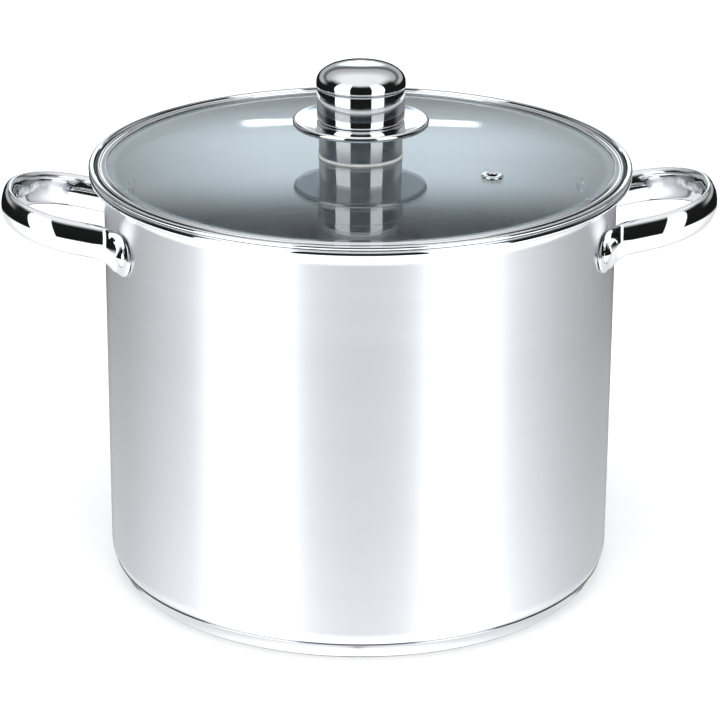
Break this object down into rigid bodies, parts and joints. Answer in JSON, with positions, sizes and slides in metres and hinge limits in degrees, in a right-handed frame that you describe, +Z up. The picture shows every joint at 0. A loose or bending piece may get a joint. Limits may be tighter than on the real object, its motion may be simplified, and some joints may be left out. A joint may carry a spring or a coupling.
{
  "type": "water bath canner",
  "caption": "Tall lidded stockpot for water bath canning, with two tube side handles, a glass lid with a steel rim and knob, and a lift-out jar rack.",
  "frame": {"origin": "centre of the resting face of the base, on the pot's axis", "axes": "+Z up along the pot's axis, X through the two side handles, Y across them"},
  "size_m": [0.4496, 0.3382, 0.332],
  "materials": {
    "pot_steel": "satin stainless sheet, fine brushing round the wall, brighter at the rolled lip",
    "base_aluminium": "cast aluminium, hidden inside the capsule",
    "base_steel": "polished stainless capsule",
    "handle_steel": "mirror polished stainless tube",
    "rivet_steel": "polished stainless rivet",
    "lid_glass": "clear tempered glass with a faint green tint",
    "rim_steel": "mirror polished stainless rim",
    "vent_steel": "polished stainless eyelet",
    "knob_steel": "mirror polished stainless",
    "knob_plastic": "black moulded plastic, hidden inside the knob",
    "knob_brass": "plain turned brass insert, hidden",
    "gasket_silicone": "translucent white silicone",
    "screw_steel": "plain stainless fastener",
    "rack_wire": "electropolished stainless wire"
  },
  "bodies": {
    "pot": {"pot_body": "pot_steel", "base_core": "base_aluminium", "base_capsule": "base_steel", "handle_left": "handle_steel", "handle_right": "handle_steel", "handle_rivets": "rivet_steel"},
    "lid": {"lid_glass": "lid_glass", "lid_rim": "rim_steel", "vent_eyelet": "vent_steel", "vent_washer": "vent_steel", "knob_cap": "knob_steel", "knob_grip": "knob_steel", "knob_guard": "knob_steel", "knob_collar": "knob_steel", "knob_core": "knob_plastic", "knob_insert": "knob_brass", "knob_gasket_top": "gasket_silicone", "knob_gasket_bottom": "gasket_silicone", "knob_washer": "screw_steel", "knob_screw": "screw_steel"},
    "rack": {"rack_lower_ring": "rack_wire", "rack_floor_wires": "rack_wire", "rack_cross_bars": "rack_wire", "rack_feet": "rack_wire", "rack_uprights": "rack_wire", "rack_upper_ring": "rack_wire", "rack_hub_loop": "rack_wire", "rack_spokes": "rack_wire", "rack_pivot_eyes": "rack_wire"},
    "bail_left": {"rack_bail_left": "rack_wire"},
    "bail_right": {"rack_bail_right": "rack_wire"}
  },
  "joints": [
    {"name": "lid_lift", "type": "slide", "parent": "pot", "child": "lid", "axis": [0, 0, 1], "range_m": [0, 0.2]},
    {"name": "rack_lift", "type": "slide", "parent": "pot", "child": "rack", "axis": [0, 0, 1], "range_m": [0, 0.085]},
    {"name": "bail_right_fold", "type": "hinge", "parent": "rack", "child": "bail_right", "pos_m": [0.13416, 0, 0.0906], "axis": [0, 1, 0], "range_deg": [0, 100]},
    {"name": "bail_left_fold", "type": "hinge", "parent": "rack", "child": "bail_left", "pos_m": [-0.13416, 0, 0.0906], "axis": [0, -1, 0], "range_deg": [0, 100]}
  ]
}
